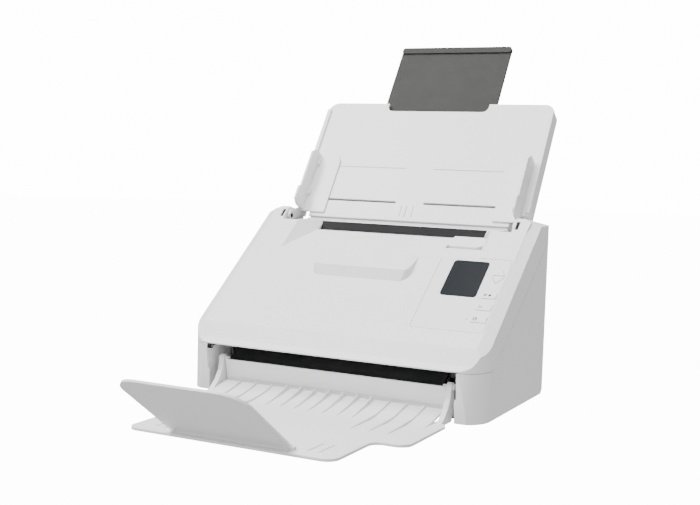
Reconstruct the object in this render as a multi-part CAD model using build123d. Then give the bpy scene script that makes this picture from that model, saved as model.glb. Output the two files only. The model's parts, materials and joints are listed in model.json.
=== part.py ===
"""Desktop sheet-fed document scanner, modelled as an assembly of separate parts.

Millimetres. +X to the right, +Y to the back, +Z up. The origin is on the table,
at the centre of the body's footprint. Two slanted working planes carry most parts:
the front slope (u along X, v up the slope, w outwards) and the paper path under it
(u along X, t up the path, w outwards). The input tray has a plane of its own.
"""
import math
import os

from build123d import *

os.makedirs("parts", exist_ok=True)

# ---- Driving dimensions ---------------------------------------------------------
body_width = 316.0
front_y = -93.5            # front edge of the body at the seam
back_y = 94.0              # back of the body at the top
front_lean = 3.5           # how far the front steps back towards the floor
back_lean = 4.0            # how far the back steps forward towards the floor
front_radius = 27.0        # plan radius of the front corners
back_radius = 7.0          # plan radius of the back corners
heel = 6.0                 # chamfer along the back's lower edge
shell = 2.5                # wall of the plastic shells
foot_height = 2.0          # gap between the shells and the table
seam_z = 48.6              # height of the seam between base and cover
seam_gap = 0.4             # gap in that seam
seam_chamfer = (1.2, 1.6)  # depth and height of the chamfer along the base's front edge
panel_gap = 0.35           # gap round the control panel
fit_gap = 0.3              # gap between parts that move past each other
seat = 0.2                 # gap between a fixed part and the opening it sits in
running = 0.05             # radial clearance of a pin in its hole

# front slope
slope_deg = 38.1
slope_y = -78.7            # lower edge of the main face
slope_z = 69.9
lip_top_y = -87.9          # edge between the lip and the lower bevel
lip_top_z = 54.9
bevel_inset = 10.5         # width of the side bevels of the main face
bevel_drop = 5.2           # depth of the side bevels

# paper path
path_deg = 36.1
path_y = -62.0             # where the seam turns up along the path
path_gap = 1.2             # gap between the two paper guides
guide_plate = 2.0
guide_half = 128.0

# feed slot, its scooped approach and the ears beside the tray
slot_half = 96.0
slot_front = (65.0, 158.7)
slot_back = (76.0, 168.0)
throat_skin = 1.3          # thickness of the throat's black lining, with its gap
scoop_knee = (12.0, 141.1)
scoop_half = 112.0
ear_inner = 132.0
ear_foot = (46.0, 167.9)
ear_top = (62.0, 182.0)
ear_back_z = 174.5
ear_bevel_x = 141.0
ear_edge_z = 174.6

# input tray
tray_deg = 57.0
tray_y = 91.5              # the guide slits cross the tray's face here
tray_z = 190.8
tray_half = 137.0
tray_foot_half = 117.5
tray_bottom = -22.5
tray_top = 131.0
tray_thick = 15.0
tray_skin = 2.5
tray_pivot = (62.0, 172.0)
slit_inner = 16.5
slit_height = 2.6
notch_half = 61.0
notch_bottom = 120.6

# paper guides and their rack drive
guide_wall_x = 126.0       # inner face of the guide walls
guide_wall = 2.5
guide_height = 20.0
rack_module = 1.0
pinion_teeth = 24

# tray extension
extension_half = 67.5
extension_top = 214.0
extension_overlap = 35.0
extension_thick = 3.0

# output tray and its stopper
out_pivot = (-78.6, 33.0)
arm_x = 123.4
arm_width = 5.2
out_rear_y = -100.0
out_wide_half = 132.0
out_step_y = -192.0
out_narrow_half = 101.0
out_front_y = -264.0
out_floor_top = 3.4
out_floor_thick = 2.4
stopper_half = 60.0
stopper_length = 102.0
stopper_deg = 35.0
stopper_thick = 2.4
stopper_pivot = (-253.0, 4.0)

# exit slot
exit_half = 134.0
panel_half = 119.5
panel_top = (-81.6, 33.1)
panel_seam = (-77.3, 13.9)

# roller train
gear_module = 1.0
gear_teeth = 17
gear_width = 6.0
gear_x = -143.0
roller_radius = 11.0
shaft_radius = 3.0
idler_radius = 6.0
nip = 0.6                  # the rollers in the cover stop this far above the path
pick_t = 118.0
bush_outer = 5.0

# raised pad on the cover
pad_x = (-60.0, 48.0)
pad_front = -18.0

# front cover hinge
cover_pivot = (-91.5, 46.6)
cover_pin_radius = 1.25

HALF = body_width / 2
COVER_ARM = (exit_half - 4.7, exit_half - 0.6)
pin_reach = exit_half + shell + 1.5
SLOPE_COS = math.cos(math.radians(slope_deg))
SLOPE_SIN = math.sin(math.radians(slope_deg))
PATH_COS = math.cos(math.radians(path_deg))
PATH_SIN = math.sin(math.radians(path_deg))
TRAY_COS = math.cos(math.radians(tray_deg))
TRAY_SIN = math.sin(math.radians(tray_deg))

slope_plane = Plane(origin=(0, slope_y, slope_z), x_dir=(1, 0, 0), z_dir=(0, -SLOPE_SIN, SLOPE_COS))
path_plane = Plane(origin=(0, path_y, seam_z), x_dir=(1, 0, 0), z_dir=(0, -PATH_SIN, PATH_COS))
tray_plane = Plane(origin=(0, tray_y, tray_z), x_dir=(1, 0, 0), z_dir=(0, -TRAY_SIN, TRAY_COS))

GEAR_PITCH = gear_module * gear_teeth / 2
ROLLER_W = nip / 2 - roller_radius          # roller centres sit under the path by this much
feed_t = pick_t - 4 * GEAR_PITCH
exit_t = feed_t - 8 * GEAR_PITCH
TRAY_PIVOT_V = (tray_pivot[0] - tray_y) * TRAY_COS + (tray_pivot[1] - tray_z) * TRAY_SIN
TRAY_PIVOT_N = -(tray_pivot[0] - tray_y) * TRAY_SIN + (tray_pivot[1] - tray_z) * TRAY_COS


# ---- Helpers --------------------------------------------------------------------
def slope_z_at(y):
    """Height of the main face's plane at a distance back."""
    return slope_z + (y - slope_y) * SLOPE_SIN / SLOPE_COS


def path_z_at(y, w=0.0):
    """Height of the paper path, or of a line w above it, at a distance back."""
    return seam_z + (y - path_y) * PATH_SIN / PATH_COS + w / PATH_COS


def path_point(t, w):
    """The (y, z) of a point in the paper path's plane."""
    return (path_y + t * PATH_COS - w * PATH_SIN, seam_z + t * PATH_SIN + w * PATH_COS)


def tray_point(v, n):
    """The (y, z) of a point in the input tray's plane."""
    return (tray_y + v * TRAY_COS - n * TRAY_SIN, tray_z + v * TRAY_SIN + n * TRAY_COS)


def prism(points, x0, x1):
    """A (y, z) outline extruded along X."""
    return extrude(Plane.YZ.offset(x0) * Polygon(*points, align=None), x1 - x0, dir=(1, 0, 0))


def mirrored(points, x0, x1):
    """The same prism on both sides of the middle."""
    return prism(points, x0, x1) + prism(points, -x1, -x0)


def block(x0, x1, y0, y1, z0, z1):
    """A box between two corners."""
    return Pos((x0 + x1) / 2, (y0 + y1) / 2, (z0 + z1) / 2) * Box(x1 - x0, y1 - y0, z1 - z0)


def slab(plane, u0, u1, v0, v1, w0, w1, radius=0.0):
    """A box in a slanted plane, with rounded corners in the plane if asked."""
    outline = Rectangle(u1 - u0, v1 - v0)
    if radius:
        outline = fillet(outline.vertices(), radius)
    placed = plane * Pos((u0 + u1) / 2, (v0 + v1) / 2, w0) * outline
    return extrude(placed, w1 - w0, dir=plane.z_dir)


def sheet(plane, points, w0, w1):
    """A polygon in a slanted plane, given a thickness."""
    return extrude(plane * Pos(0, 0, w0) * Polygon(*points, align=None), w1 - w0, dir=plane.z_dir)


def rod(x0, x1, yz, radius):
    """A cylinder along X."""
    return Pos((x0 + x1) / 2, yz[0], yz[1]) * Rot(0, 90, 0) * Cylinder(radius, x1 - x0)


def tube(x0, x1, yz, outer, inner):
    """A bush or a tyre along X."""
    return rod(x0, x1, yz, outer) - rod(x0 - 1, x1 + 1, yz, inner)


def plan_outline(inset, z0, z1):
    """The body's rounded footprint, drawn in by inset."""
    depth = back_y - front_y - 2 * inset
    outline = Rectangle(body_width - 2 * inset, depth)
    front = outline.vertices().sort_by(Axis.Y)[:2]
    outline = fillet(front, front_radius - inset)
    back = outline.vertices().sort_by(Axis.Y)[-2:]
    outline = fillet(back, max(back_radius - inset, 0.3))
    return extrude(Pos(0, (front_y + back_y) / 2, z0) * outline, z1 - z0, dir=(0, 0, 1))


def front_y_at(z):
    """The base's front wall, which leans."""
    return front_y + front_lean * (seam_z - z) / (seam_z - foot_height)


def back_y_at(z):
    """The back wall, which leans."""
    return back_y - back_lean * (ear_back_z - z) / (ear_back_z - foot_height)


def gear_outline(module, teeth, backlash=0.12):
    """An involute spur gear's outline, with a tooth centred on +X."""
    pitch = module * teeth / 2
    base = pitch * math.cos(math.radians(20))
    tip = pitch + 0.9 * module
    root = pitch - 1.2 * module
    lead = math.tan(math.radians(20)) - math.radians(20)
    half_tooth = (math.pi * module / 2 - backlash) / 2 / pitch
    flank = []
    for i in range(5):
        r = max(base, root) + (tip - max(base, root)) * i / 4
        a = math.acos(min(1.0, base / r))
        flank.append((r, half_tooth + lead - (math.tan(a) - a)))
    points = []
    for k in range(teeth):
        c = 2 * math.pi * k / teeth
        side = [(root, flank[0][1])] + flank
        points += [(r * math.cos(c - a), r * math.sin(c - a)) for r, a in side]
        points += [(r * math.cos(c + a), r * math.sin(c + a)) for r, a in reversed(side)]
    return Polygon(*points, align=None)


def gear(x0, width, yz, turn_deg, bore, module=gear_module, teeth=gear_teeth):
    """A spur gear on an X shaft. turn_deg turns its first tooth from +Y towards +Z."""
    outline = gear_outline(module, teeth) - Circle(bore)
    return Pos(0, yz[0], yz[1]) * extrude(Plane.YZ.offset(x0) * Rot(0, 0, turn_deg) * outline, width, dir=(1, 0, 0))


def save(name, shape):
    """Write one node."""
    shape.label = name
    export_step(shape, f"parts/{name}.step")


# ---- Base -----------------------------------------------------------------------
def base_outline(wall, top):
    """Side view of the base, drawn in by wall, with its top raised by top."""
    low, high = seam_z - seam_gap / 2 + top, path_z_at(back_y) - seam_gap + top
    return [
        (front_y_at(foot_height) + wall, foot_height),
        (front_y_at(low - seam_chamfer[1]) + wall, low - seam_chamfer[1]),
        (front_y + seam_chamfer[0] + wall, low),
        (path_y, low),
        (back_y_at(high) - wall, high),
        (back_y_at(foot_height + heel) - wall, foot_height + heel),
        (back_y_at(foot_height) - wall - heel, foot_height),
    ]


REAR_WINDOW = (118.0, 14.0, 128.0)          # half width, low and high edge of the back opening


def lower_housing():
    """Open tub with two front columns, a window at the back and screw bosses."""
    solid = prism(base_outline(0, 0), -HALF, HALF) & plan_outline(0, 0, 200)
    room = prism(base_outline(shell, 40), -HALF, HALF) & plan_outline(shell, -1, 240)
    body = solid - (room & block(-HALF, HALF, front_y, back_y, foot_height - 1, 240))
    inside = column_inner = exit_half + shell
    wall = mirrored(
        [(front_y + 2, BOTTOM_TOP), (front_y + 2, seam_z), (path_y, seam_z), (path_y + 12, path_z_at(path_y + 12)),
         (path_y + 12, BOTTOM_TOP)], exit_half, column_inner)
    cap = block(-HALF, HALF, front_y, path_y, seam_z - seam_gap / 2 - shell, seam_z - seam_gap / 2)
    cap -= block(-inside, inside, front_y - 1, path_y + 1, 0, seam_z + 1)
    body += (wall + cap) & solid
    body -= block(-exit_half, exit_half, front_y - 5, path_y - 1, 24.0, seam_z + 5)
    body -= block(-out_wide_half - fit_gap, out_wide_half + fit_gap, front_y - 5, front_y + 14, -1, 25.0)
    half, low, high = REAR_WINDOW
    body -= block(-half, half, back_y - 12, back_y + 5, low, high)
    for x in (-1, 1):
        for y in SCREW_ROWS:
            body += block(min(x * SCREW_X, x * (HALF - shell / 2)), max(x * SCREW_X, x * (HALF - shell / 2)),
                          y - 4, y + 4, BOTTOM_TOP, BOTTOM_TOP + 14)
            body += Pos(x * SCREW_X, y, BOTTOM_TOP + 7) * Cylinder(4, 14)
            body -= Pos(x * SCREW_X, y, BOTTOM_TOP + 5) * Cylinder(1.4, 12)
    return body - rod(-pin_reach, pin_reach, cover_pivot, cover_pin_radius)


BOTTOM_TOP = foot_height + 2.0
SCREW_X = 144.0
SCREW_ROWS = (-52.0, 72.0)
FOOT_X = 126.0
FOOT_ROWS = (-56.0, 70.0)
foot_radius = 8.0


def bottom_cover():
    """Flat plate that closes the base, with wells for the feet and screw holes."""
    inset = shell + seat + back_lean
    plate = plan_outline(inset, foot_height, BOTTOM_TOP)
    plate &= block(-HALF, HALF, front_y, back_y_at(foot_height) - heel - shell - seat, 0, BOTTOM_TOP)
    plate -= block(-out_wide_half - 2, out_wide_half + 2, front_y - 5, -71.5, -1, BOTTOM_TOP + 1)
    for x in (-1, 1):
        for y in FOOT_ROWS:
            plate -= Pos(x * FOOT_X, y, foot_height) * Cylinder(foot_radius + seat, 2.0)
        for y in SCREW_ROWS:
            plate -= Pos(x * SCREW_X, y, foot_height) * Cylinder(1.7, 20)
            plate -= Pos(x * SCREW_X, y, foot_height) * Cylinder(3.2, 2.0)
    for i in range(9):
        plate -= block(-40 + i * 10, -35 + i * 10, 20, 50, 0, BOTTOM_TOP + 1)
    return plate


def feet():
    """Four rubber feet, seated in the bottom cover's wells."""
    out = []
    for x in (-1, 1):
        for y in FOOT_ROWS:
            disc = Pos(x * FOOT_X, y, (foot_height + 1.0) / 2) * Cylinder(foot_radius, foot_height + 1.0)
            out.append(chamfer(disc.edges().group_by(Axis.Z)[0], 0.8))
    return Compound(out)


def case_screws():
    """Four screws up through the bottom cover into the housing's bosses."""
    out = []
    for x in (-1, 1):
        for y in SCREW_ROWS:
            head = Pos(x * SCREW_X, y, foot_height + 0.5) * Cylinder(2.8, 1.0)
            stem = Pos(x * SCREW_X, y, foot_height + 5.5) * Cylinder(1.35, 11.0)
            cross = Pos(x * SCREW_X, y, foot_height) * (Box(3.0, 0.7, 1.0) + Box(0.7, 3.0, 1.0))
            out.append(head + stem - cross)
    return Compound(out)


JACK = (-96.0, 30.0)        # x, z of the power inlet
USB = (-70.0, 30.0)         # x, z of the data socket


def rear_cover():
    """Back panel with louvres, a finger recess and two socket openings."""
    half, low, high = REAR_WINDOW
    half, low, high = half - seat, low + seat, high - seat
    outer = [(back_y_at(low), low), (back_y_at(high), high),
             (back_y_at(high) - shell - 0.1, high), (back_y_at(low) - shell - 0.1, low)]
    panel = prism(outer, -half, half)
    panel -= Pos(JACK[0], back_y, JACK[1]) * Rot(90, 0, 0) * Cylinder(4.2, 30)
    panel -= block(USB[0] - 6.3, USB[0] + 6.3, back_y - 20, back_y + 5, USB[1] - 5.7, USB[1] + 5.7)
    for i in range(12):
        panel -= block(-10 + i * 9, -5 + i * 9, back_y - 20, back_y + 5, 88, 112)
    inner = shell + 0.05
    rim = prism([(back_y_at(low - 3) - inner, low - 3), (back_y_at(high + 3) - inner, high + 3),
                 (back_y_at(high + 3) - inner - 1.5, high + 3), (back_y_at(low - 3) - inner - 1.5, low - 3)],
                -half - 3, half + 3)
    hole = prism([(back_y, low + 4), (back_y, high - 4), (back_y - 20, high - 4), (back_y - 20, low + 4)],
                 -half + 4, half - 4)
    return panel + (rim - hole)


def rear_deck():
    """Bent plate behind the feed slot: the throat's back wall and the deck under the tray."""
    lift = path_gap / 2
    foot = path_point((54.5 - path_y) / PATH_COS, -lift)
    edge = back_y_at(160.0) - shell - seat
    points = [(foot[0] + throat_skin, foot[1]), (slot_back[0] + throat_skin, slot_back[1]),
              (slot_back[0] + 1.6, slot_back[1] + 1.9), (slot_back[0] + 3.6, slot_back[1] + 0.2),
              (84.0, 163.6), (edge, 161.0), (edge, 158.8), (83.0, 161.2),
              (79.2, 165.4), (foot[0] + 2.6, foot[1] - 1.6)]
    return prism(points, -tray_foot_half, tray_foot_half)


def throat_back():
    """Black lining on the throat's back wall, which the sheets slide down."""
    foot = path_point((54.5 - path_y) / PATH_COS, -path_gap / 2)
    top = (slot_back[0] - 0.6, slot_back[1] - 1.0)
    skin = throat_skin - 0.05
    points = [foot, top, (top[0] + skin, top[1]), (foot[0] + skin, foot[1])]
    return prism(points, -tray_foot_half + 1, tray_foot_half - 1)


def exit_panel():
    """Panel under the exit slot, in two steps with a shadow line between them."""
    thick = 2.6
    foot = (panel_seam[0] + 1.3, BOTTOM_TOP)
    points = [foot, panel_seam, panel_top, (panel_top[0] + thick + 1.0, panel_top[1] - 0.4),
              (panel_seam[0] + thick + 0.6, panel_seam[1]), (foot[0] + thick, BOTTOM_TOP)]
    panel = prism(points, -panel_half, panel_half)
    groove = block(-panel_half + 4, panel_half - 4, panel_seam[0] - 1, panel_seam[0] + 0.5,
                   panel_seam[1] - 0.3, panel_seam[1] + 0.3)
    for x in (-1, 1):
        ear = prism([(foot[0], BOTTOM_TOP), panel_seam, panel_top, (panel_top[0] + 14, panel_top[1]),
                     (panel_top[0] + 14, BOTTOM_TOP)], min(x * (panel_half - 3), x * panel_half),
                    max(x * (panel_half - 3), x * panel_half))
        panel += ear
    return panel - groove + output_tray_pins()


TRAY_PIN = 2.0


def output_tray_pins():
    """Two headed pins, moulded on the exit panel, that carry the output tray's arms."""
    out = None
    for x in (-1, 1):
        a, b = x * (panel_half - 3.0), x * (arm_x + arm_width / 2 + 1.6)
        pin = rod(min(a, b), max(a, b), out_pivot, TRAY_PIN)
        c = x * (arm_x + arm_width / 2 + fit_gap)
        pin += rod(min(c, b), max(c, b), out_pivot, 3.0)
        out = pin if out is None else out + pin
    return out


def cover_hinge_pins():
    """Two short pins from the columns into the cover's hinge arms."""
    out = []
    for x in (-1, 1):
        a, b = x * (COVER_ARM[0] - 0.5), x * pin_reach
        out.append(rod(min(a, b), max(a, b), cover_pivot, cover_pin_radius))
    return Compound(out)


BRACKET = (134.5, 136.9)
PIN_FROM = 129.0
tray_pin_radius = 2.4
tray_arm = (129.3, 131.6)


def tray_brackets():
    """Upright plates inside the ears, each with the pin that the input tray turns on."""
    points = [(48, 96), (54, 128), (54, 172), (58, 178), (66, 178), (70, 172), (72, 128), (72, 96)]
    out = []
    for side in (-1, 1):
        plate = prism(points, min(side * BRACKET[0], side * BRACKET[1]), max(side * BRACKET[0], side * BRACKET[1]))
        wall = side * (HALF - shell - 0.1)
        foot = block(min(side * BRACKET[0], wall), max(side * BRACKET[0], wall), 50, 70, 96, 99)
        a, b = side * PIN_FROM, side * (BRACKET[1] + 0.2)
        out.append(plate + foot + rod(min(a, b), max(a, b), tray_pivot, tray_pin_radius))
    return Compound(out)


def roller_windows(t, reach, w0, w1, tyres, width):
    """Cutters for the roller windows in a paper guide."""
    cut = None
    for u in tyres:
        piece = slab(path_plane, u - width / 2 - 1.5, u + width / 2 + 1.5, t - reach, t + reach, w0, w1)
        cut = piece if cut is None else cut + piece
    return cut


PICK_TYRES = (-11.0, 11.0)
FEED_TYRES = (-62.0, -22.0, 22.0, 62.0)
EXIT_TYRES = (-78.0, -24.0, 12.0, 78.0)
TYRE_WIDTH = 14.0
LOWER_SCAN_T = 42.0
UPPER_SCAN_T = 62.0
SCAN_HALF = 110.0


def lower_paper_guide():
    """Black guide under the paper path, bent down at the exit, with the throat's back lining."""
    g = path_gap / 2
    top = (54.2 - path_y) / PATH_COS
    plate = slab(path_plane, -guide_half, guide_half, 4, top - 1.5, -g - guide_plate, -g)
    lip = prism([path_point(4.2, -g), path_point(4.2, -g - guide_plate), (-70.5, 36.2), (-77.0, 31.6),
                 (-78.0, 33.2), (-71.6, 38.2)], -panel_half + 3.4, panel_half - 3.4)
    plate += lip
    cut = roller_windows(pick_t, 9, -g - 3, -g + 1, PICK_TYRES, TYRE_WIDTH)
    cut += roller_windows(feed_t, 9, -g - 3, -g + 1, FEED_TYRES, TYRE_WIDTH)
    cut += roller_windows(exit_t, 9, -g - 3, -g + 1, EXIT_TYRES, TYRE_WIDTH)
    cut += slab(path_plane, -SCAN_HALF, SCAN_HALF, LOWER_SCAN_T - 7, LOWER_SCAN_T + 7, -g - 3, -g + 1)
    return Compound([plate - cut, throat_back()])


def scan_module(t, side, length):
    """A contact image sensor's housing, under or over the path."""
    g = path_gap / 2
    a, b = side * (g + guide_plate + 0.05), side * (g + 13.0)
    body = slab(path_plane, -length, length, t - 8, t + 8, min(a, b), max(a, b))
    c, d = side * (g + guide_plate - 0.5), side * (g + 5.0)
    body -= slab(path_plane, -length + 4, length - 4, t - 5.5, t + 5.5, min(c, d), max(c, d))
    e, f = side * (g + 5.2), side * (g + 3.0)
    return body + slab(path_plane, -length + 5, length - 5, t - 1.2, t + 1.2, min(e, f), max(e, f))


def scan_glass(t, side):
    """The glass strip that the paper slides over."""
    g = path_gap / 2
    a, b = side * g, side * (g + guide_plate)
    return slab(path_plane, -SCAN_HALF + seat, SCAN_HALF - seat, t - 7 + seat, t + 7 - seat, min(a, b), max(a, b))


FRAME_X = 133.0
FRAME_THICK = 1.5


def side_frame(side):
    """Steel side plate that stands on the bottom cover and carries the shafts' bushes."""
    a, b = side * FRAME_X, side * (FRAME_X - FRAME_THICK)
    under = -path_gap / 2 - guide_plate - 0.6
    outline = [path_point(8, under), path_point(pick_t + 12, under), (70, BOTTOM_TOP), (-40, BOTTOM_TOP)]
    plate = prism(outline, min(a, b), max(a, b))
    for t in (pick_t, feed_t, exit_t):
        plate -= rod(min(a, b) - 1, max(a, b) + 1, path_point(t, ROLLER_W), bush_outer)
    if side < 0:
        for k in (1, 3, 4, 5):
            plate -= rod(min(a, b) - 1, max(a, b) + 1, path_point(pick_t - 2 * GEAR_PITCH * k, ROLLER_W), STUD)
        plate -= rod(min(a, b) - 1, max(a, b) + 1, motor_centre(), 4.0)
    return plate


STUD = 1.5


def motor_centre():
    """The motor's shaft sits one gear below the middle idler."""
    return path_point(pick_t - 4 * 2 * GEAR_PITCH, ROLLER_W - 2 * GEAR_PITCH)


def idler_studs():
    """Steel studs in the left side plate, one for each idler gear."""
    out = []
    for k in (1, 3, 4, 5):
        yz = path_point(pick_t - 2 * GEAR_PITCH * k, ROLLER_W)
        stud = rod(gear_x - gear_width / 2 - 1.0, -FRAME_X + FRAME_THICK + 0.5, yz, STUD)
        out.append(stud)
    return Compound(out)


def shaft_bushes():
    """Bearing bushes in both side plates, for the three roller shafts."""
    out = []
    for side in (-1, 1):
        for t in (pick_t, feed_t, exit_t):
            a, b = side * (FRAME_X + 1.5), side * (FRAME_X - FRAME_THICK - 1.5)
            out.append(tube(min(a, b), max(a, b), path_point(t, ROLLER_W), bush_outer, shaft_radius + running))
    return Compound(out)


def drive_motor():
    """Stepper motor: can, mounting ears and a boss in the side plate."""
    yz = motor_centre()
    face = -FRAME_X + FRAME_THICK
    can = rod(face + 0.1, face + 30, yz, 13.0)
    can += rod(face - 1.4, face + 0.2, yz, 3.9)
    ears = block(face + 0.1, face + 1.3, yz[0] - 20, yz[0] + 20, yz[1] - 5, yz[1] + 5)
    ears -= rod(face - 2, face + 4, (yz[0] - 16.5, yz[1]), 1.7) + rod(face - 2, face + 4, (yz[0] + 16.5, yz[1]), 1.7)
    return can + ears - rod(face - 4, face + 22, yz, 1.0 + running)


def motor_pinion():
    """The motor's shaft with its pinion."""
    yz = motor_centre()
    return rod(gear_x - gear_width / 2, -FRAME_X + FRAME_THICK + 18, yz, 1.0) + gear(
        gear_x - gear_width / 2, gear_width, yz, path_deg + PINION_TURN, 0.9)


def mesh_turn(direction, turn):
    """How far a gear is turned so that it meshes with a like gear that lies in a direction from it."""
    pitch = 360 / gear_teeth
    share = ((direction - turn) / pitch) % 1
    return (direction + 180 - (0.5 - share) * pitch) % pitch


PINION_TURN = mesh_turn(-90.0, 0.0)


def main_board():
    """Circuit board that stands on the base, with its chips and sockets' pads."""
    board = block(-110, 60, 20, 80, 12, 13.6)
    for x, y, w, d in ((-60, 45, 18, 18), (-20, 50, 12, 12), (20, 40, 14, 10), (0, 68, 22, 6)):
        board += block(x - w / 2, x + w / 2, y - d / 2, y + d / 2, 13.5, 15.4)
    for x in (-105, 55):
        for y in (24, 76):
            board += Pos(x, y, (BOTTOM_TOP + 12) / 2) * Cylinder(2.5, 12 - BOTTOM_TOP)
    return board


def power_inlet():
    """Barrel socket on the board's back edge, showing at the rear cover."""
    x, z = JACK
    y = back_y_at(z) - shell - 0.2
    body = block(x - 5.5, x + 5.5, 66, y - 2.8, 13.6, z + 6)
    body += Pos(x, y - 0.8, z) * Rot(90, 0, 0) * Cylinder(3.9, 5.0)
    body -= Pos(x, y - 3.0, z) * Rot(90, 0, 0) * Cylinder(2.8, 14.0)
    return body + Pos(x, y - 6.5, z) * Rot(90, 0, 0) * Cylinder(0.8, 9.0)


def data_socket():
    """Square data socket beside the power inlet."""
    x, z = USB
    y = back_y_at(z) - shell + 0.6
    body = block(x - 6.0, x + 6.0, 66, y - 4.0, 13.6, z + 5.4) + block(x - 6.0, x + 6.0, y - 5.0, y, z - 5.4, z + 5.4)
    body -= block(x - 4.2, x + 4.2, y - 9, y + 1, z - 3.8, z + 3.8)
    return body + block(x - 2.8, x + 2.8, y - 9.5, y - 1.0, z - 1.4, z + 1.4)


# ---- Driven rollers and gears ---------------------------------------------------
def roller(t, tyres, radius):
    """A shaft with hubs, its gear seat at the left, and its tyres as a second shape."""
    yz = path_point(t, ROLLER_W)
    shaft = rod(gear_x - gear_width / 2 - 0.6, FRAME_X + 3.5, yz, shaft_radius)
    hubs, rubber = shaft, []
    for u in tyres:
        hubs += rod(u - TYRE_WIDTH / 2, u + TYRE_WIDTH / 2, yz, radius - 3.0)
        rubber.append(tube(u - TYRE_WIDTH / 2, u + TYRE_WIDTH / 2, yz, radius, radius - 3.0))
    return hubs, Compound(rubber)


def shaft_gear(t):
    """The gear on a roller's shaft."""
    return gear(gear_x - gear_width / 2, gear_width, path_point(t, ROLLER_W), path_deg, shaft_radius)


def idler_gear(k):
    """An idler gear that turns on its stud."""
    yz = path_point(pick_t - 2 * GEAR_PITCH * k, ROLLER_W)
    return gear(gear_x - gear_width / 2, gear_width, yz, path_deg, STUD + running)


# ---- Front cover ----------------------------------------------------------------
THROAT_FRONT = (43.6, path_z_at(43.6, 0.6))
liner_room = 2.0            # room in front of the throat for the guide's upturned end


def cover_outline():
    """Side view of the cover between the bevels, with the ears' top line."""
    bottom = seam_z + seam_gap / 2
    return [(path_y, bottom), (front_y + 1.2, bottom), (front_y, bottom + 1.2), (lip_top_y, lip_top_z),
            (slope_y, slope_z), ear_foot, ear_top, (back_y_at(ear_back_z), ear_back_z),
            (back_y_at(163.0), path_z_at(back_y) + seam_gap)]


def front_cover():
    """The lid of the scanner: main face, bevels, scoop to the feed slot, and both ears."""
    solid = prism(cover_outline(), -HALF, HALF) & plan_outline(0, 0, 240)
    # middle: cut back between the ears
    rear = [(slot_front[0] - 0.4, slot_front[1]), (slot_front[0] - liner_room, slot_front[1] - 0.8),
            (THROAT_FRONT[0] - liner_room, THROAT_FRONT[1]), (39.5, 60), (200, 60), (200, 260),
            (slot_front[0] - 0.4, 260)]
    solid -= prism(rear, -slot_half, slot_half)
    flat_z = slope_z_at(ear_foot[0] + 1.2)
    solid -= block(-ear_inner, ear_inner, ear_foot[0], back_y + 5, flat_z, 260)
    shoulder = [(slot_back[0] - 0.8, 260), slot_back_edge, (53.7, 131), (200, 60), (200, 260)]
    solid -= prism(shoulder, -tray_foot_half - 1.5, tray_foot_half + 1.5)
    pocket = [(53.0, 260), (53.0, 100), (200, 60), (200, 260)]
    solid -= mirrored(pocket, tray_foot_half, ear_inner)
    solid -= scoop_cutter()
    solid += raised_pad()
    # bevels along the main face and on the ears
    for side in (-1, 1):
        wedge = [(side * (HALF - bevel_inset), 0.0), (side * (HALF + 1), 8.0),
                 (side * (HALF + 1), -bevel_drop * (bevel_inset + 1) / bevel_inset)]
        low, high = -30, (ear_top[0] - slope_y) / SLOPE_COS + 8
        face = Plane(origin=slope_plane.origin + slope_plane.y_dir * low, x_dir=(1, 0, 0), z_dir=slope_plane.y_dir)
        solid -= extrude(face * Polygon(*[(x, -w) for x, w in wedge], align=None), high - low, dir=slope_plane.y_dir)
        top = [(side * ear_bevel_x, ear_top[1] + 0.01), (side * (HALF + 1), ear_edge_z - 0.4),
               (side * (HALF + 1), 200), (side * ear_bevel_x, 200)]
        solid -= extrude(Plane.XZ.offset(-ear_foot[0]) * Polygon(*top, align=None), back_y + 5 - ear_foot[0],
                         dir=(0, 1, 0))
    solid -= cover_hollow()
    solid -= control_opening()
    solid += cover_ribs()
    solid = solid - hinge_room() - latch_room() - cover_arms() + latch_lugs()
    return solid - rod(LATCH[0] - 3.7, LATCH[1] + 3.7, scoop_point(LATCH_PIVOT_S, LATCH_PIVOT_W), 1.5 + running)


def raised_pad():
    """The step in the middle of the face that carries the scoop's floor forward."""
    foot = pad_front + 3.5
    points = [(pad_front, slope_z_at(pad_front) - 1.5), (foot, slope_z_at(pad_front) + 12.2),
              (scoop_knee[0], scoop_knee[1] - 0.05), (scoop_knee[0], scoop_knee[1] - 2), (foot, slope_z_at(foot) - 1.5)]
    outline = Pos((pad_x[0] + pad_x[1]) / 2, pad_front + 40) * Rectangle(pad_x[1] - pad_x[0], 80)
    outline = fillet(outline.vertices().sort_by(Axis.Y)[:2], 11.0)
    return prism(points, pad_x[0], pad_x[1]) & extrude(Pos(0, 0, 90) * outline, 90, dir=(0, 0, 1))


def scoop_cutter():
    """The dip in front of the feed slot, with slanted cheeks."""
    ky, kz = scoop_knee
    floor = [(ky, kz), slot_front, (slot_front[0] + 20, slot_front[1] + 6), (slot_front[0] + 20, 230), (ky, 230)]
    cut = prism(floor, -scoop_half, scoop_half)
    for side in (-1, 1):
        a = Vector(side * slot_half, slot_front[0], slot_front[1])
        b = Vector(side * scoop_half, ky, kz)
        c = Vector(side * scoop_half, ear_foot[0], slope_z_at(ear_foot[0]))
        normal = (b - a).cross(c - a).normalized()
        if normal.X * side < 0:
            normal = normal * -1
        keep = Plane(origin=a, z_dir=normal)
        cut -= keep * Pos(0, 0, 100) * Box(600, 600, 200)
    return cut


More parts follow.
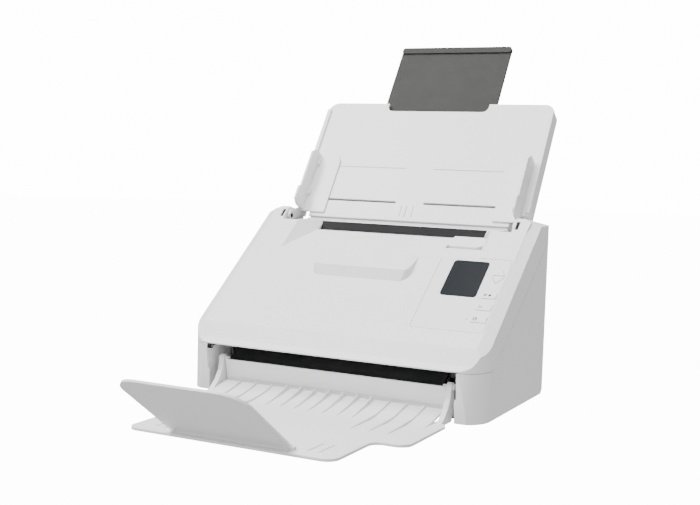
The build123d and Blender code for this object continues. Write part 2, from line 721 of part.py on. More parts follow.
def cover_hollow():
    """The room inside the cover, open towards the paper path."""
    room = slab(slope_plane, -HALF + 8, HALF - 8, 6, 112, -45, -shell)
    scoop = [(6, 90), (6, scoop_knee[1] - 6.5), (scoop_knee[0] + 1, scoop_knee[1] - 3.2),
             (slot_front[0] - 5.2, slot_front[1] - 4.6), (THROAT_FRONT[0] - 4.6, THROAT_FRONT[1] - 2), (30, 90)]
    room += prism(scoop, -slot_half + 2, slot_half - 2)
    side = [(6, 90), (6, slope_z_at(6) - 3.4), (44.0, slope_z_at(44.0) - 3.4), (50.0, 165.0), (50.0, 120), (30, 90)]
    room += mirrored(side, scoop_half + 3, HALF - 8)
    ear = [(40, 90), (40, 158.0), (60, 172.0), (back_y - shell - 3, 166.0), (back_y - shell - 3, 90)]
    room += mirrored(ear, ear_inner + 9.5, HALF - shell)
    g = path_gap / 2 + guide_plate + seat
    end = (THROAT_FRONT[0] - path_y) / PATH_COS
    return room + slab(path_plane, -guide_half - seat, guide_half + seat, 7.5, end + 2, -5, g)


slot_back_edge = (slot_back[0] - 0.8, slot_back[1])
PANEL = (73.0, 146.0, 20.0, 119.0)         # control panel: left, right, low, high
WINDOW = (87.5, 124.5, 65.0, 114.5)        # display window in the panel
BUTTON_X = (129.5, 145.0)
BUTTON_ROWS = {"power_button": 37.0, "scan_button": 53.0, "cancel_button": 69.0}
BUTTON_TALL = 9.0
ARROW_X = 138.5
ARROWS = {"down_button": (90.0, -1), "up_button": (101.5, 1)}
PANEL_THICK = 1.6


def control_opening():
    """The recess that the control panel lies in, and the hole under it."""
    l, r, b, t = PANEL
    g = panel_gap
    recess = slab(slope_plane, l - g, r + g, b - g, t + g, -PANEL_THICK, 5, 4.0)
    hole = slab(slope_plane, l + 4, r - 0.2, b + 4, t - 4, -20, 1, 2.0)
    return recess + hole


def cover_ribs():
    """Ribs that stiffen the cover and carry the upper guide's edges."""
    ribs = None
    for u in (-118.0, -60.0, 0.0, 60.0):
        rib = slab(slope_plane, u, u + 1.6, 5, 108, -12, -shell + 0.5)
        ribs = rib if ribs is None else ribs + rib
    return ribs


def hinge_room():
    """Clearance in the cover for the hinge pins and for the input tray's brackets."""
    cut = None
    for side in (-1, 1):
        a, b = side * (BRACKET[0] - 0.5), side * (BRACKET[1] + 0.6)
        slot = block(min(a, b), max(a, b), 50, 90.2, 90, 178.6)
        c, d = side * (ear_inner - 1), side * (BRACKET[0])
        travel = 34.0
        lane = Plane(origin=((c + d) / 2, tray_pivot[0], tray_pivot[1]), x_dir=(0, math.sin(math.radians(40)),
                     -math.cos(math.radians(40))), z_dir=(1, 0, 0))
        width = 2 * tray_pin_radius + 2.4
        slot += extrude(lane * Pos(travel / 2, 0, -abs(d - c) / 2) * SlotOverall(travel + width, width), abs(d - c),
                        dir=(1, 0, 0))
        cut = slot if cut is None else cut + slot
    return cut


LATCH = (66.0, 104.0)                       # left and right edge of the release tab
LATCH_S = (28.0, 54.5)                      # front and back edge, measured up the scoop
LATCH_PIVOT_S = 40.0
LATCH_PIVOT_W = -5.0
SCOOP_DEG = math.degrees(math.atan2(slot_front[1] - scoop_knee[1], slot_front[0] - scoop_knee[0]))
scoop_plane = Plane(origin=(0, *scoop_knee), x_dir=(1, 0, 0),
                    z_dir=(0, -math.sin(math.radians(SCOOP_DEG)), math.cos(math.radians(SCOOP_DEG))))


def scoop_point(s, w):
    """The (y, z) of a point in the scoop's plane."""
    c, d = math.cos(math.radians(SCOOP_DEG)), math.sin(math.radians(SCOOP_DEG))
    return (scoop_knee[0] + s * c - w * d, scoop_knee[1] + s * d + w * c)


def latch_room():
    """The pocket that the release tab moves in: deep round its pivot, shallow towards the slot."""
    a, b = LATCH[0] - 0.5, LATCH[1] + 0.5
    deep = slab(scoop_plane, a, b, LATCH_S[0] - 0.5, LATCH_PIVOT_S + 3.5, -9.5, 20)
    return deep + slab(scoop_plane, a, b, LATCH_PIVOT_S, LATCH_S[1] + 3, -3.2, 20)


def latch_lugs():
    """Two lugs beside the pocket that hold the release tab's pivot."""
    lugs = None
    for a, b in ((LATCH[0] - 3.5, LATCH[0] - 0.5), (LATCH[1] + 0.5, LATCH[1] + 3.5)):
        lug = slab(scoop_plane, a, b, LATCH_PIVOT_S - 4, LATCH_PIVOT_S + 3, -8.5, -2.0)
        lugs = lug if lugs is None else lugs + lug
    return lugs


def release_latch():
    """The tab that lets the cover go, with its pivot bar and catch."""
    a, b = LATCH
    tab = slab(scoop_plane, a, b, LATCH_S[0], LATCH_S[1], -1.0, 2.2)
    tab = fillet(tab.edges().filter_by(Axis((0, 0, 0), scoop_plane.z_dir)).sort_by(Axis.Y)[:2], 8.0)
    tab = fillet(tab.faces().sort_by(Axis.Z)[-1].edges().sort_by(Axis.Y)[:3], 0.8)
    web = slab(scoop_plane, a + 2, b - 2, LATCH_PIVOT_S - 5, LATCH_PIVOT_S + 2, -6.5, -0.9)
    catch = slab(scoop_plane, a + 8, a + 16, LATCH_PIVOT_S - 4, LATCH_PIVOT_S, -9.0, -6.4)
    pivot = rod(a - 3.4, b + 3.4, scoop_point(LATCH_PIVOT_S, LATCH_PIVOT_W), 1.5)
    return tab + web + catch + pivot


def control_panel():
    """The panel with its window and button openings."""
    l, r, b, t = PANEL
    panel = slab(slope_plane, l, r, b, t, -PANEL_THICK, 0.0, 3.8)
    a, c, d, e = WINDOW
    panel -= slab(slope_plane, a - seat, c + seat, d - seat, e + seat, -3, 2, 3.6)
    for v in BUTTON_ROWS.values():
        panel -= slab(slope_plane, BUTTON_X[0], BUTTON_X[1], v - BUTTON_TALL / 2, v + BUTTON_TALL / 2, -3, 2, 1.8)
    for v, way in ARROWS.values():
        panel -= sheet(slope_plane, arrow(v, way, 0.0), -3, 2)
    panel -= slope_plane * Pos(LIGHT[0], LIGHT[1], -1) * Cylinder(0.9 + running, 6)
    return panel


LIGHT = (125.4, 36.0)


def arrow(v, way, inset):
    """A triangle that points up or down the slope."""
    half, tall = 6.6 - 1.7 * inset, 5.0 - inset
    return [(ARROW_X - half, v - way * tall), (ARROW_X + half, v - way * tall), (ARROW_X, v + way * (tall - inset * 0.4))]


def push_button(name):
    """A button's cap, with a flange under the panel that keeps it in."""
    if name in BUTTON_ROWS:
        v = BUTTON_ROWS[name]
        half = BUTTON_TALL / 2 - fit_gap
        cap = slab(slope_plane, BUTTON_X[0] + fit_gap, BUTTON_X[1] - fit_gap, v - half, v + half, -3.2, 0.7, 1.5)
        top = cap.faces().sort_by(Axis((0, 0, 0), slope_plane.z_dir))[-1]
        cap = chamfer(top.edges(), 0.25)
        return cap + slab(slope_plane, BUTTON_X[0] - 0.6, BUTTON_X[1] + 0.4, v - half - 0.7, v + half + 0.7,
                          -4.0, -PANEL_THICK - fit_gap)
    v, way = ARROWS[name]
    cap = sheet(slope_plane, arrow(v, way, fit_gap * 1.6), -3.2, 0.5)
    return cap + sheet(slope_plane, arrow(v, way, -0.1), -4.0, -PANEL_THICK - fit_gap)


def display_window():
    """Clear window over the display."""
    a, c, d, e = WINDOW
    return slab(slope_plane, a, c, d, e, -PANEL_THICK, 0.15, 3.4)


def display_module():
    """The display behind the window."""
    a, c, d, e = WINDOW
    return slab(slope_plane, a - 2.5, c + 1.5, d - 3, e + 0.4, -5.2, -PANEL_THICK)


def panel_board():
    """Circuit board behind the panel, with a switch under each button."""
    l, r, b, t = PANEL
    board = slab(slope_plane, l + 5, r - 3.6, b + 5, t - 4.6, -6.8, -5.2)
    places = [((BUTTON_X[0] + BUTTON_X[1]) / 2, v) for v in BUTTON_ROWS.values()]
    places += [(ARROW_X, v) for v, way in ARROWS.values()]
    for u, v in places:
        board += slope_plane * Pos(u, v, -5.2) * Cylinder(1.6, 0.7)
    return board + slope_plane * Pos(LIGHT[0], LIGHT[1], -4.05) * Cylinder(0.9, 2.5)


def status_light():
    """The lens of the power light."""
    return slope_plane * Pos(LIGHT[0], LIGHT[1], -1.3) * Cylinder(0.9, 2.9)


IDLERS = {"feed_idler": (feed_t, FEED_TYRES), "exit_idler": (exit_t, EXIT_TYRES)}
separation_radius = 9.0


def idler(t, tyres, radius):
    """A free roller in the cover: a thin steel shaft with plastic rollers."""
    yz = path_point(t, radius + nip)
    wheel = rod(min(tyres) - 12, max(tyres) + 12, yz, 1.5)
    for u in tyres:
        wheel += rod(u - 5, u + 5, yz, radius)
    return wheel


def cradle(u, t, radius):
    """A clip that holds an idler's shaft end."""
    g = path_gap / 2
    post = slab(path_plane, u - 1.0, u + 1.0, t - 3, t + 3, g + guide_plate - 0.2, radius + 3)
    return post - rod(u - 3, u + 3, path_point(t, radius + nip), 1.5 + running)


def upper_paper_guide():
    """Black guide over the paper path, with the idlers' clips and the throat's liner."""
    g = path_gap / 2
    end = (THROAT_FRONT[0] - path_y) / PATH_COS
    plate = slab(path_plane, -guide_half, guide_half, 8, end - 1.2, g, g + guide_plate)
    rise = 0.85
    tip = (THROAT_FRONT[0] + rise * (slot_front[0] - THROAT_FRONT[0]),
           THROAT_FRONT[1] + rise * (slot_front[1] - THROAT_FRONT[1]))
    liner = [path_point(end - 1.6, g), THROAT_FRONT, tip, (tip[0] - 1.0, tip[1] - 0.2),
             (THROAT_FRONT[0] - 1.1, THROAT_FRONT[1] + 1.0), path_point(end - 3.0, g + guide_plate)]
    plate += prism(liner, -slot_half + 0.5, slot_half - 0.5)
    cut = roller_windows(pick_t, 8, g - 1, g + 4, (0.0,), 40)
    cut += roller_windows(feed_t, 7.5, g - 1, g + 4, FEED_TYRES, 12)
    cut += roller_windows(exit_t, 7.5, g - 1, g + 4, EXIT_TYRES, 12)
    cut += slab(path_plane, -SCAN_HALF, SCAN_HALF, UPPER_SCAN_T - 7, UPPER_SCAN_T + 7, g - 1, g + 3)
    plate -= cut
    for t, tyres in IDLERS.values():
        for u in (min(tyres) - 10, max(tyres) + 10):
            plate += cradle(u, t, idler_radius)
    for u in (-23.5, 23.5):
        plate += cradle(u, pick_t, separation_radius)
    return plate


def cover_arms():
    """The two hinge arms that reach from the cover to the pins in the base's columns."""
    arms = None
    for side in (-1, 1):
        a, b = sorted((side * COVER_ARM[0], side * COVER_ARM[1]))
        bottom = seam_z + seam_gap / 2
        web = prism([(cover_pivot[0] + 1.5, cover_pivot[1]), (cover_pivot[0] + 1.5, bottom + 3), (-60, bottom + 22),
                     (-60, bottom + 6), (-70, bottom - 1.5)], a, b)
        web += rod(a, b, cover_pivot, cover_pin_radius + 1.2)
        arms = web if arms is None else arms + web
    return arms - rod(-200, 200, cover_pivot, cover_pin_radius + running)


# ---- Input tray -----------------------------------------------------------------
def tray_outline(inset=0.0):
    """The tray's face: a wide panel on a narrower foot between the ears."""
    wide, foot, low = tray_half - inset, tray_foot_half - inset, -9.0 + inset
    panel = Pos(0, (tray_top - inset + low) / 2) * Rectangle(2 * wide, tray_top - inset - low)
    corners = panel.vertices()
    panel = fillet(corners.sort_by(Axis.Y)[-2:], 12.0 - inset)
    panel = fillet(panel.vertices().sort_by(Axis.Y)[:2], 4.0)
    stem = Pos(0, (low + tray_bottom + inset) / 2 + 3) * Rectangle(2 * foot, low - tray_bottom - inset + 6)
    return panel + stem


def on_tray(outline, n0, n1):
    """A flat outline extruded between two depths of the tray."""
    return extrude(tray_plane * Pos(0, 0, n0) * outline, n1 - n0, dir=tray_plane.z_dir)


def input_tray_front():
    """The face that paper rests on, with the guides' slits and the notch for the extension."""
    face = on_tray(tray_outline(), -tray_skin, 0)
    notch = slab(tray_plane, -notch_half, notch_half, notch_bottom, tray_top + 15, -tray_skin - 1, 5, 7.0)
    face -= notch
    for side in (-1, 1):
        a, b = sorted((side * (tray_half - 4.5), side * tray_half))
        rim = slab(tray_plane, a, b, -6, tray_top - 10, -0.5, 2.4)
        face += rim
        c, d = sorted((side * slit_inner, side * (TONGUE[1] + 1.0)))
        face -= slab(tray_plane, c, d, -slit_height / 2, slit_height / 2, -5, 5)
        e, f = sorted((side * 16.0, side * 98.0))
        face -= slab(tray_plane, e, f, 43.1, 44.1, -0.5, 1)
    for u in (-9.0, -3.0, 5.0):
        face += slab(tray_plane, u, u + 1.2, -17, -4, -0.5, 0.6)
    return face


def input_tray_back():
    """The tray's back shell, with the hinge arms and the pinion's stud."""
    body = on_tray(tray_outline(0.4), -tray_thick, -tray_skin)
    room = on_tray(tray_outline(2.6), -tray_thick + 2.2, -tray_skin + 1)
    body -= room
    gap = extension_half + 0.6
    body -= slab(tray_plane, -gap, gap, tray_top - 12, tray_top + 5, EXT_N - 0.5, -tray_skin + 1)
    for side in (-1, 1):
        rail = slab(tray_plane, *sorted((side * gap, side * (gap + 1.6))), 22, tray_top - 2, -tray_thick + 1, -tray_skin)
        body += rail
        a, b = sorted((side * tray_arm[0], side * tray_arm[1]))
        n = TRAY_PIVOT_N
        v = TRAY_PIVOT_V
        arm = [(0, -12), (0, -3.2), (-10.4, -3.2), (-12.5, 0.5), (v + 5, n + 4.2), (v - 1, n + 5), (v - 5, n),
               (v - 3, n - 4.5), (-19, -6), (-17, -13.5)]
        body += prism([tray_point(*p) for p in arm], a, b)
        body += rod(a, b, tray_pivot, 5.0)
        body -= rod(a - 1, b + 1, tray_pivot, tray_pin_radius + running)
    body += tray_plane * Pos(0, 0, -12.1) * Cylinder(3.0, 3.0)
    body += tray_plane * Pos(0, 0, -9.0) * Cylinder(2.0, 4.0)
    for i in range(5):
        body -= slab(tray_plane, -20 + i * 9, -15 + i * 9, 40, 90, -tray_thick - 1, -tray_thick + 0.6)
    return body


EXT_N = -8.0
TONGUE = (104.0, 112.0)
RACK_N = (-10.4, -7.6)
PINION_R = rack_module * pinion_teeth / 2


def rack(side):
    """A toothed bar on the tray's far side of the pinion, joined to the guide's tongue."""
    pitch = math.pi * rack_module
    line = PINION_R
    half_flat = pitch / 4 - 0.10
    slope = math.tan(math.radians(20))
    tip, root = 0.85 * rack_module, 1.25 * rack_module
    bar = [(-TONGUE[1], line + root), (-TONGUE[1], line + 4.6), (7.0, line + 4.6), (7.0, line + root)]
    outline = Polygon(*bar, align=None)
    for k in range(-36, 3):
        c = (k + 0.5) * pitch
        if c - half_flat < -TONGUE[1] or c + half_flat > 7.0:
            continue
        tooth = [(c - half_flat - slope * root, line + root + 0.01), (c + half_flat + slope * root, line + root + 0.01),
                 (c + half_flat - slope * tip, line - tip), (c - half_flat + slope * tip, line - tip)]
        outline += Polygon(*tooth, align=None)
    outline += Polygon((-TONGUE[1], -0.8), (-TONGUE[0], -0.8), (-TONGUE[0], line + 4.6), (-TONGUE[1], line + 4.6),
                       align=None)
    turned = Rot(0, 0, 180 if side > 0 else 0) * outline
    return on_tray(turned, *RACK_N)


def paper_guide(side):
    """One side guide: base plate, upright wall, tongue through the slit, and its rack."""
    inner, wall = guide_wall_x, guide_wall_x + guide_wall
    plate = [(side * (wall), -18), (side * 99, -18), (side * 99, 50), (side * 103, 57), (side * wall, 57)]
    body = sheet(tray_plane, plate, fit_gap, fit_gap + 1.7)
    a, b = sorted((side * inner, side * wall))
    outline = [(-14, fit_gap), (-18, 6), (-18, 17), (-14, guide_height + 3.5), (2, guide_height + 3.5),
               (4, guide_height), (50, guide_height), (57, guide_height - 7), (57, fit_gap)]
    body += prism([tray_point(v, n) for v, n in outline], a, b)
    c, d = sorted((side * TONGUE[0], side * TONGUE[1]))
    body += slab(tray_plane, c, d, -0.7, 0.7, RACK_N[0], fit_gap + 0.5)
    for v in (46.0, 6.0):
        e, f = sorted((side * (inner - 3.0), side * inner))
        body += slab(tray_plane, e, f, v - 3, v + 3, fit_gap, fit_gap + 4.5)
    return body + rack(side)


def guide_pinion():
    """The pinion between the two racks, which makes the guides move together."""
    outline = gear_outline(rack_module, pinion_teeth, 0.2) - Circle(2.0 + running)
    return on_tray(outline, RACK_N[0], RACK_N[1])


def tray_extension():
    """The sheet that pulls out of the tray's top, with a lip along its end."""
    low = tray_top - extension_overlap
    body = slab(tray_plane, -extension_half, extension_half, low, extension_top, EXT_N, EXT_N + extension_thick, 3.0)
    lip = slab(tray_plane, -extension_half, extension_half, extension_top - 8, extension_top, EXT_N - 0.6,
               EXT_N + extension_thick + 1.6, 3.0)
    return body + lip


# ---- Output tray ----------------------------------------------------------------
def ramp_line(y, lift=0.0):
    """Height of the output tray's ramp behind its flat floor."""
    back, front, rise = out_pivot[0] - 2.4, -128.0, 8.6
    share = max(0.0, min(1.0, (y - front) / (back - front)))
    return out_floor_top + rise * share ** 1.6 + lift


def output_tray():
    """Stepped floor with a ribbed ramp, two arms that turn on the base's pins, and hinge lugs."""
    low = out_floor_top - out_floor_thick
    wide = Rectangle(2 * out_wide_half, out_rear_y - out_step_y)
    wide = Pos(0, (out_rear_y + out_step_y) / 2) * fillet(wide.vertices(), 12.0)
    narrow = Rectangle(2 * out_narrow_half, out_rear_y - 20 - out_front_y)
    narrow = Pos(0, (out_rear_y - 20 + out_front_y) / 2) * fillet(narrow.vertices(), 12.0)
    outline = wide + narrow
    steps = [v for v in outline.vertices() if abs(v.Y - out_step_y) < 1 and abs(abs(v.X) - out_narrow_half) < 1]
    outline = fillet(steps, 10.0)
    body = extrude(Pos(0, 0, low) * outline, out_floor_thick, dir=(0, 0, 1))
    back = out_pivot[0] - 2.4
    ys = [back - i * (back + 128.0) / 7 for i in range(8)]
    ramp = [(y, ramp_line(y)) for y in ys] + [(y, max(low, ramp_line(y) - out_floor_thick)) for y in reversed(ys)]
    body += prism(ramp, -panel_half + 1.0, panel_half - 1.0)
    for i in range(7):
        body += wedge_rib(-46.0 + i * 46 / 3, -125.0, 3.4)
    for x in (64.0, 82.0, 100.0):
        for side in (-1, 1):
            body += wedge_rib(side * x, -162.0, 1.6)
    for x in (70.0, 80.0):
        for side in (-1, 1):
            body += block(side * x - 0.5, side * x + 0.5, -250, -222, out_floor_top - 0.3, out_floor_top + 0.5)
    body += arms() + stopper_lugs()
    a = stopper_half - 0.5
    body -= block(-a, a, stopper_pivot[0] - 4.0, stopper_pivot[0] + 4.0, -1, 20)
    return body + stopper_lugs() - rod(-90, 90, stopper_pivot, 1.2 + running)


def wedge_rib(x, front, lift):
    """A thin rib that runs down the ramp and fades out on the floor."""
    back = out_pivot[0] - 4.0
    ys = [back, -90.0, -100.0, -112.0]
    top = [(y, ramp_line(y, lift * (y - front) / (back - front) + 0.4)) for y in ys]
    points = top + [(front, out_floor_top + 0.5), (front - 2, out_floor_top - 0.5), (-112.0, ramp_line(-112.0, -1)),
                    (-95.0, ramp_line(-95.0, -1)), (back, ramp_line(back, -1))]
    return prism(points, x - 0.7, x + 0.7)


def arms():
    """The upright arms that hang on the base's pins, with gussets to the floor."""
    low = out_floor_top - out_floor_thick
    y, z = out_pivot
    side_view = [(y - 4.2, z), (y + 4.0, z), (y + 4.0, 20), (y + 2.6, 9), (y - 1.4, low), (-106, low),
                 (-106, out_floor_top), (-99, 6.0), (-91, 13.0), (y - 6.4, 22)]
    out = None
    for side in (-1, 1):
        a, b = sorted((side * (arm_x - arm_width / 2), side * (arm_x + arm_width / 2)))
        arm = prism(side_view, a, b) + rod(a, b, out_pivot, 4.1)
        c, d = sorted((side * (panel_half - 2), side * (arm_x + arm_width / 2)))
        arm += block(c, d, -106, y - 4.5, low, out_floor_top)
        out = arm if out is None else out + arm
    return out - rod(-200, 200, out_pivot, TRAY_PIN + running)


def stopper_lugs():
    """Lugs on the tray's front edge for the stopper's pins."""
    lugs = None
    for side in (-1, 1):
        a, b = sorted((side * (stopper_half - 3.5), side * (stopper_half + 0.5)))
        lug = rod(a, b, stopper_pivot, 2.6)
        lug += block(a, b, stopper_pivot[0] - 4.6, stopper_pivot[0] + 4.6, out_floor_top - out_floor_thick,
                     out_floor_top)
        lugs = lug if lugs is None else lugs + lug
    return lugs


def paper_stopper():
    """The panel that catches the sheets, on a barrel with two pins."""
    c, s = math.cos(math.radians(stopper_deg)), math.sin(math.radians(stopper_deg))
    plane = Plane(origin=(0, *stopper_pivot), x_dir=(1, 0, 0), z_dir=(0, -s, -c))
    outline = Rectangle(2 * stopper_half, stopper_length - 3.4)
    outline = fillet(outline.vertices().sort_by(Axis.Y)[-2:], 22.0)
    panel = extrude(plane * Pos(0, (stopper_length + 3.4) / 2, -stopper_thick / 2) * outline, stopper_thick,
                    dir=plane.z_dir)
    reach = stopper_half - 3.5 - fit_gap
    web = slab(plane, -reach, reach, 0.2, 4.0, -stopper_thick / 2, stopper_thick / 2)
    barrel = rod(-reach, reach, stopper_pivot, 2.3)
    return panel + web + barrel + rod(-stopper_half, stopper_half, stopper_pivot, 1.2)


def rollers():
    """The three driven shafts, their tyres and their gears."""
    for name, t, tyres in (("pick", pick_t, PICK_TYRES), ("feed", feed_t, FEED_TYRES), ("exit", exit_t, EXIT_TYRES)):
        shaft, rubber = roller(t, tyres, roller_radius)
        save(f"{name}_shaft", shaft)
        save(f"{name}_tyres", rubber)
        save(f"{name}_gear", shaft_gear(t))


def main():
    save("lower_housing", lower_housing())
    save("bottom_cover", bottom_cover())
    save("rubber_feet", feet())
    save("case_screws", case_screws())
    save("rear_cover", rear_cover())
    save("rear_deck", rear_deck())
    save("exit_panel", exit_panel())
    save("cover_hinge_pins", cover_hinge_pins())
    save("tray_brackets", tray_brackets())
    save("lower_paper_guide", lower_paper_guide())
    save("lower_scan_module", scan_module(LOWER_SCAN_T, -1, SCAN_HALF + 4))
    save("lower_scan_glass", scan_glass(LOWER_SCAN_T, -1))
    save("side_frames", Compound([side_frame(-1), side_frame(1)]))
    save("shaft_bushes", shaft_bushes())
    save("idler_studs", idler_studs())
    save("drive_motor", drive_motor())
    save("motor_pinion", motor_pinion())
    save("main_board", main_board())
    save("power_inlet", power_inlet())
    save("data_socket", data_socket())
    rollers()
    for number, k in enumerate((1, 3, 4, 5), 1):
        save(f"idler_gear_{number}", idler_gear(k))
    save("front_cover", front_cover())
    save("cover_hinge_arms", cover_arms())
    save("control_panel", control_panel())
    save("display_window", display_window())
    save("display_module", display_module())
    save("panel_board", panel_board())
    save("status_light", status_light())
    for name in (*BUTTON_ROWS, *ARROWS):
        save(name, push_button(name))
    save("release_latch", release_latch())
    save("upper_paper_guide", upper_paper_guide())
    save("upper_scan_module", scan_module(UPPER_SCAN_T, 1, SCAN_HALF + 4))
    save("upper_scan_glass", scan_glass(UPPER_SCAN_T, 1))
    save("separation_roller", idler(pick_t, PICK_TYRES, separation_radius))
    for name, (t, tyres) in IDLERS.items():
        save(name, idler(t, tyres, idler_radius))
    save("input_tray_front", input_tray_front())
    save("input_tray_back", input_tray_back())
    save("left_paper_guide", paper_guide(-1))
    save("right_paper_guide", paper_guide(1))
    save("guide_pinion", guide_pinion())
    save("tray_extension", tray_extension())
    save("output_tray", output_tray())
    save("paper_stopper", paper_stopper())


main()
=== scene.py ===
"""Looks of the sheet-fed document scanner: materials, small markings, light and camera."""

import json
import math

import bpy
from mathutils import Matrix, Vector


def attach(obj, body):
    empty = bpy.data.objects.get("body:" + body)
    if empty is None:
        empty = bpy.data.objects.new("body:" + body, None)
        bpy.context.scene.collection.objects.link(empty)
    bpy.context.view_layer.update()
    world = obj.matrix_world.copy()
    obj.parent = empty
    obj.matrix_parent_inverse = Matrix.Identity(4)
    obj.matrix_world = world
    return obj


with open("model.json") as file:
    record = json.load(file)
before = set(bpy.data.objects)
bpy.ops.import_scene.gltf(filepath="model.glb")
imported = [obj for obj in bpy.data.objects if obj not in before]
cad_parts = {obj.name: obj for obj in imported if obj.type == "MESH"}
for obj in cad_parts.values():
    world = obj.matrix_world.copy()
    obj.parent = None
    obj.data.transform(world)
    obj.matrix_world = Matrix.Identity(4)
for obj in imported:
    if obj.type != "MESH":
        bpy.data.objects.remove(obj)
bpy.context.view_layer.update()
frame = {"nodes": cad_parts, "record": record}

MM = 0.001
SLOPE = math.radians(38.1)                       # the main face's slope
SLOPE_OUT = Vector((0, -math.sin(SLOPE), math.cos(SLOPE)))
SLOPE_UP = Vector((0, math.cos(SLOPE), math.sin(SLOPE)))


# ---- Materials ------------------------------------------------------------------
EDGE_SAMPLES = 6                                 # rays for each rounded edge in the shading


def new_material(name, color, roughness, **sockets):
    """A principled material with its constant values set on the shader."""
    material = bpy.data.materials.new(name)
    material.use_nodes = True
    shader = material.node_tree.nodes["Principled BSDF"]
    shader.inputs["Base Color"].default_value = (*color, 1)
    shader.inputs["Roughness"].default_value = roughness
    for key, value in sockets.items():
        shader.inputs[key.replace("_", " ")].default_value = value
    return material, material.node_tree, shader


def noise(tree, scale, detail=3.0, stretch=(1, 1, 1)):
    """Noise over the object's own coordinates."""
    coords = tree.nodes.new("ShaderNodeTexCoord")
    mapping = tree.nodes.new("ShaderNodeMapping")
    mapping.inputs["Scale"].default_value = stretch
    texture = tree.nodes.new("ShaderNodeTexNoise")
    texture.inputs["Scale"].default_value = scale
    texture.inputs["Detail"].default_value = detail
    tree.links.new(coords.outputs["Object"], mapping.inputs["Vector"])
    tree.links.new(mapping.outputs["Vector"], texture.inputs["Vector"])
    return texture.outputs["Fac"]


def ramp(tree, value, low, high, start=0.35, end=0.65):
    """Turns a value into a colour between two."""
    node = tree.nodes.new("ShaderNodeValToRGB")
    node.color_ramp.elements[0].position = start
    node.color_ramp.elements[1].position = end
    node.color_ramp.elements[0].color = (*low, 1)
    node.color_ramp.elements[1].color = (*high, 1)
    tree.links.new(value, node.inputs["Fac"])
    return node.outputs["Color"]


def spread(tree, value, low, high):
    """Maps a 0 to 1 value onto a range."""
    node = tree.nodes.new("ShaderNodeMapRange")
    node.inputs["To Min"].default_value = low
    node.inputs["To Max"].default_value = high
    tree.links.new(value, node.inputs["Value"])
    return node.outputs["Result"]


def bump(tree, shader, height, distance, strength, radius=0.0):
    """Bump, over edges that are rounded in the shading when a radius is given."""
    node = tree.nodes.new("ShaderNodeBump")
    node.inputs["Strength"].default_value = strength
    node.inputs["Distance"].default_value = distance
    tree.links.new(height, node.inputs["Height"])
    if radius:
        edge = tree.nodes.new("ShaderNodeBevel")
        edge.samples = EDGE_SAMPLES
        edge.inputs["Radius"].default_value = radius
        tree.links.new(edge.outputs["Normal"], node.inputs["Normal"])
    tree.links.new(node.outputs["Normal"], shader.inputs["Normal"])


def shade(color, factor):
    """The colour made lighter or darker by a factor."""
    return tuple(min(1.0, c * factor) for c in color)


def grained(name, color, roughness, grain=0.00004, scale=2600, mottle=0.03, radius=0.0004,
            **sockets):
    """Moulded plastic: a very fine grain, with its tone and gloss a little uneven."""
    material, tree, shader = new_material(name, color, roughness, **sockets)
    cloud = noise(tree, 9, 4)
    tone = ramp(tree, cloud, shade(color, 1 - mottle), shade(color, 1 + mottle))
    tree.links.new(tone, shader.inputs["Base Color"])
    fine = noise(tree, scale, 2)
    gloss = spread(tree, noise(tree, 60, 3), roughness - 0.05, roughness + 0.07)
    tree.links.new(gloss, shader.inputs["Roughness"])
    bump(tree, shader, fine, grain, 0.6, radius)
    return material


def metal(name, color, roughness, stretch=(1, 30, 30)):
    """Drawn or rolled steel, with fine lines along X."""
    material, tree, shader = new_material(name, color, roughness, Metallic=1.0)
    lines = noise(tree, 60, 4, stretch)
    tone = ramp(tree, lines, shade(color, 0.82), shade(color, 1.1))
    tree.links.new(tone, shader.inputs["Base Color"])
    tree.links.new(spread(tree, lines, roughness - 0.08, roughness + 0.12), shader.inputs["Roughness"])
    bump(tree, shader, lines, 0.00002, 0.4, 0.0002)
    return material


def rubber_material(name, color, lines):
    """Rubber with a ground surface, fine ribs across it when lines are asked for."""
    material, tree, shader = new_material(name, color, 0.78)
    cloud = noise(tree, 140, 4)
    tone = ramp(tree, cloud, shade(color, 0.75), shade(color, 1.5))
    tree.links.new(tone, shader.inputs["Base Color"])
    tree.links.new(spread(tree, cloud, 0.65, 0.9), shader.inputs["Roughness"])
    height = noise(tree, 900, 3, (1, 6, 6) if lines else (1, 1, 1))
    bump(tree, shader, height, 0.0001, 0.7, 0.0003)
    return material


def glass_material(name, color, roughness):
    """Dark display glass: a deep, dull tint with the faintest dust."""
    material, tree, shader = new_material(name, color, roughness, Specular_IOR_Level=0.12)
    dust = noise(tree, 500, 5)
    tone = ramp(tree, dust, color, shade(color, 1.35), 0.45, 0.8)
    tree.links.new(tone, shader.inputs["Base Color"])
    tree.links.new(spread(tree, dust, roughness, roughness + 0.08), shader.inputs["Roughness"])
    return material


def clear_glass(name):
    """The sensors' clear glass."""
    material, tree, shader = new_material(name, (0.86, 0.92, 0.91), 0.03, IOR=1.5,
                                          Transmission_Weight=0.85)
    haze = noise(tree, 300, 3)
    tree.links.new(spread(tree, haze, 0.02, 0.08), shader.inputs["Roughness"])
    return material


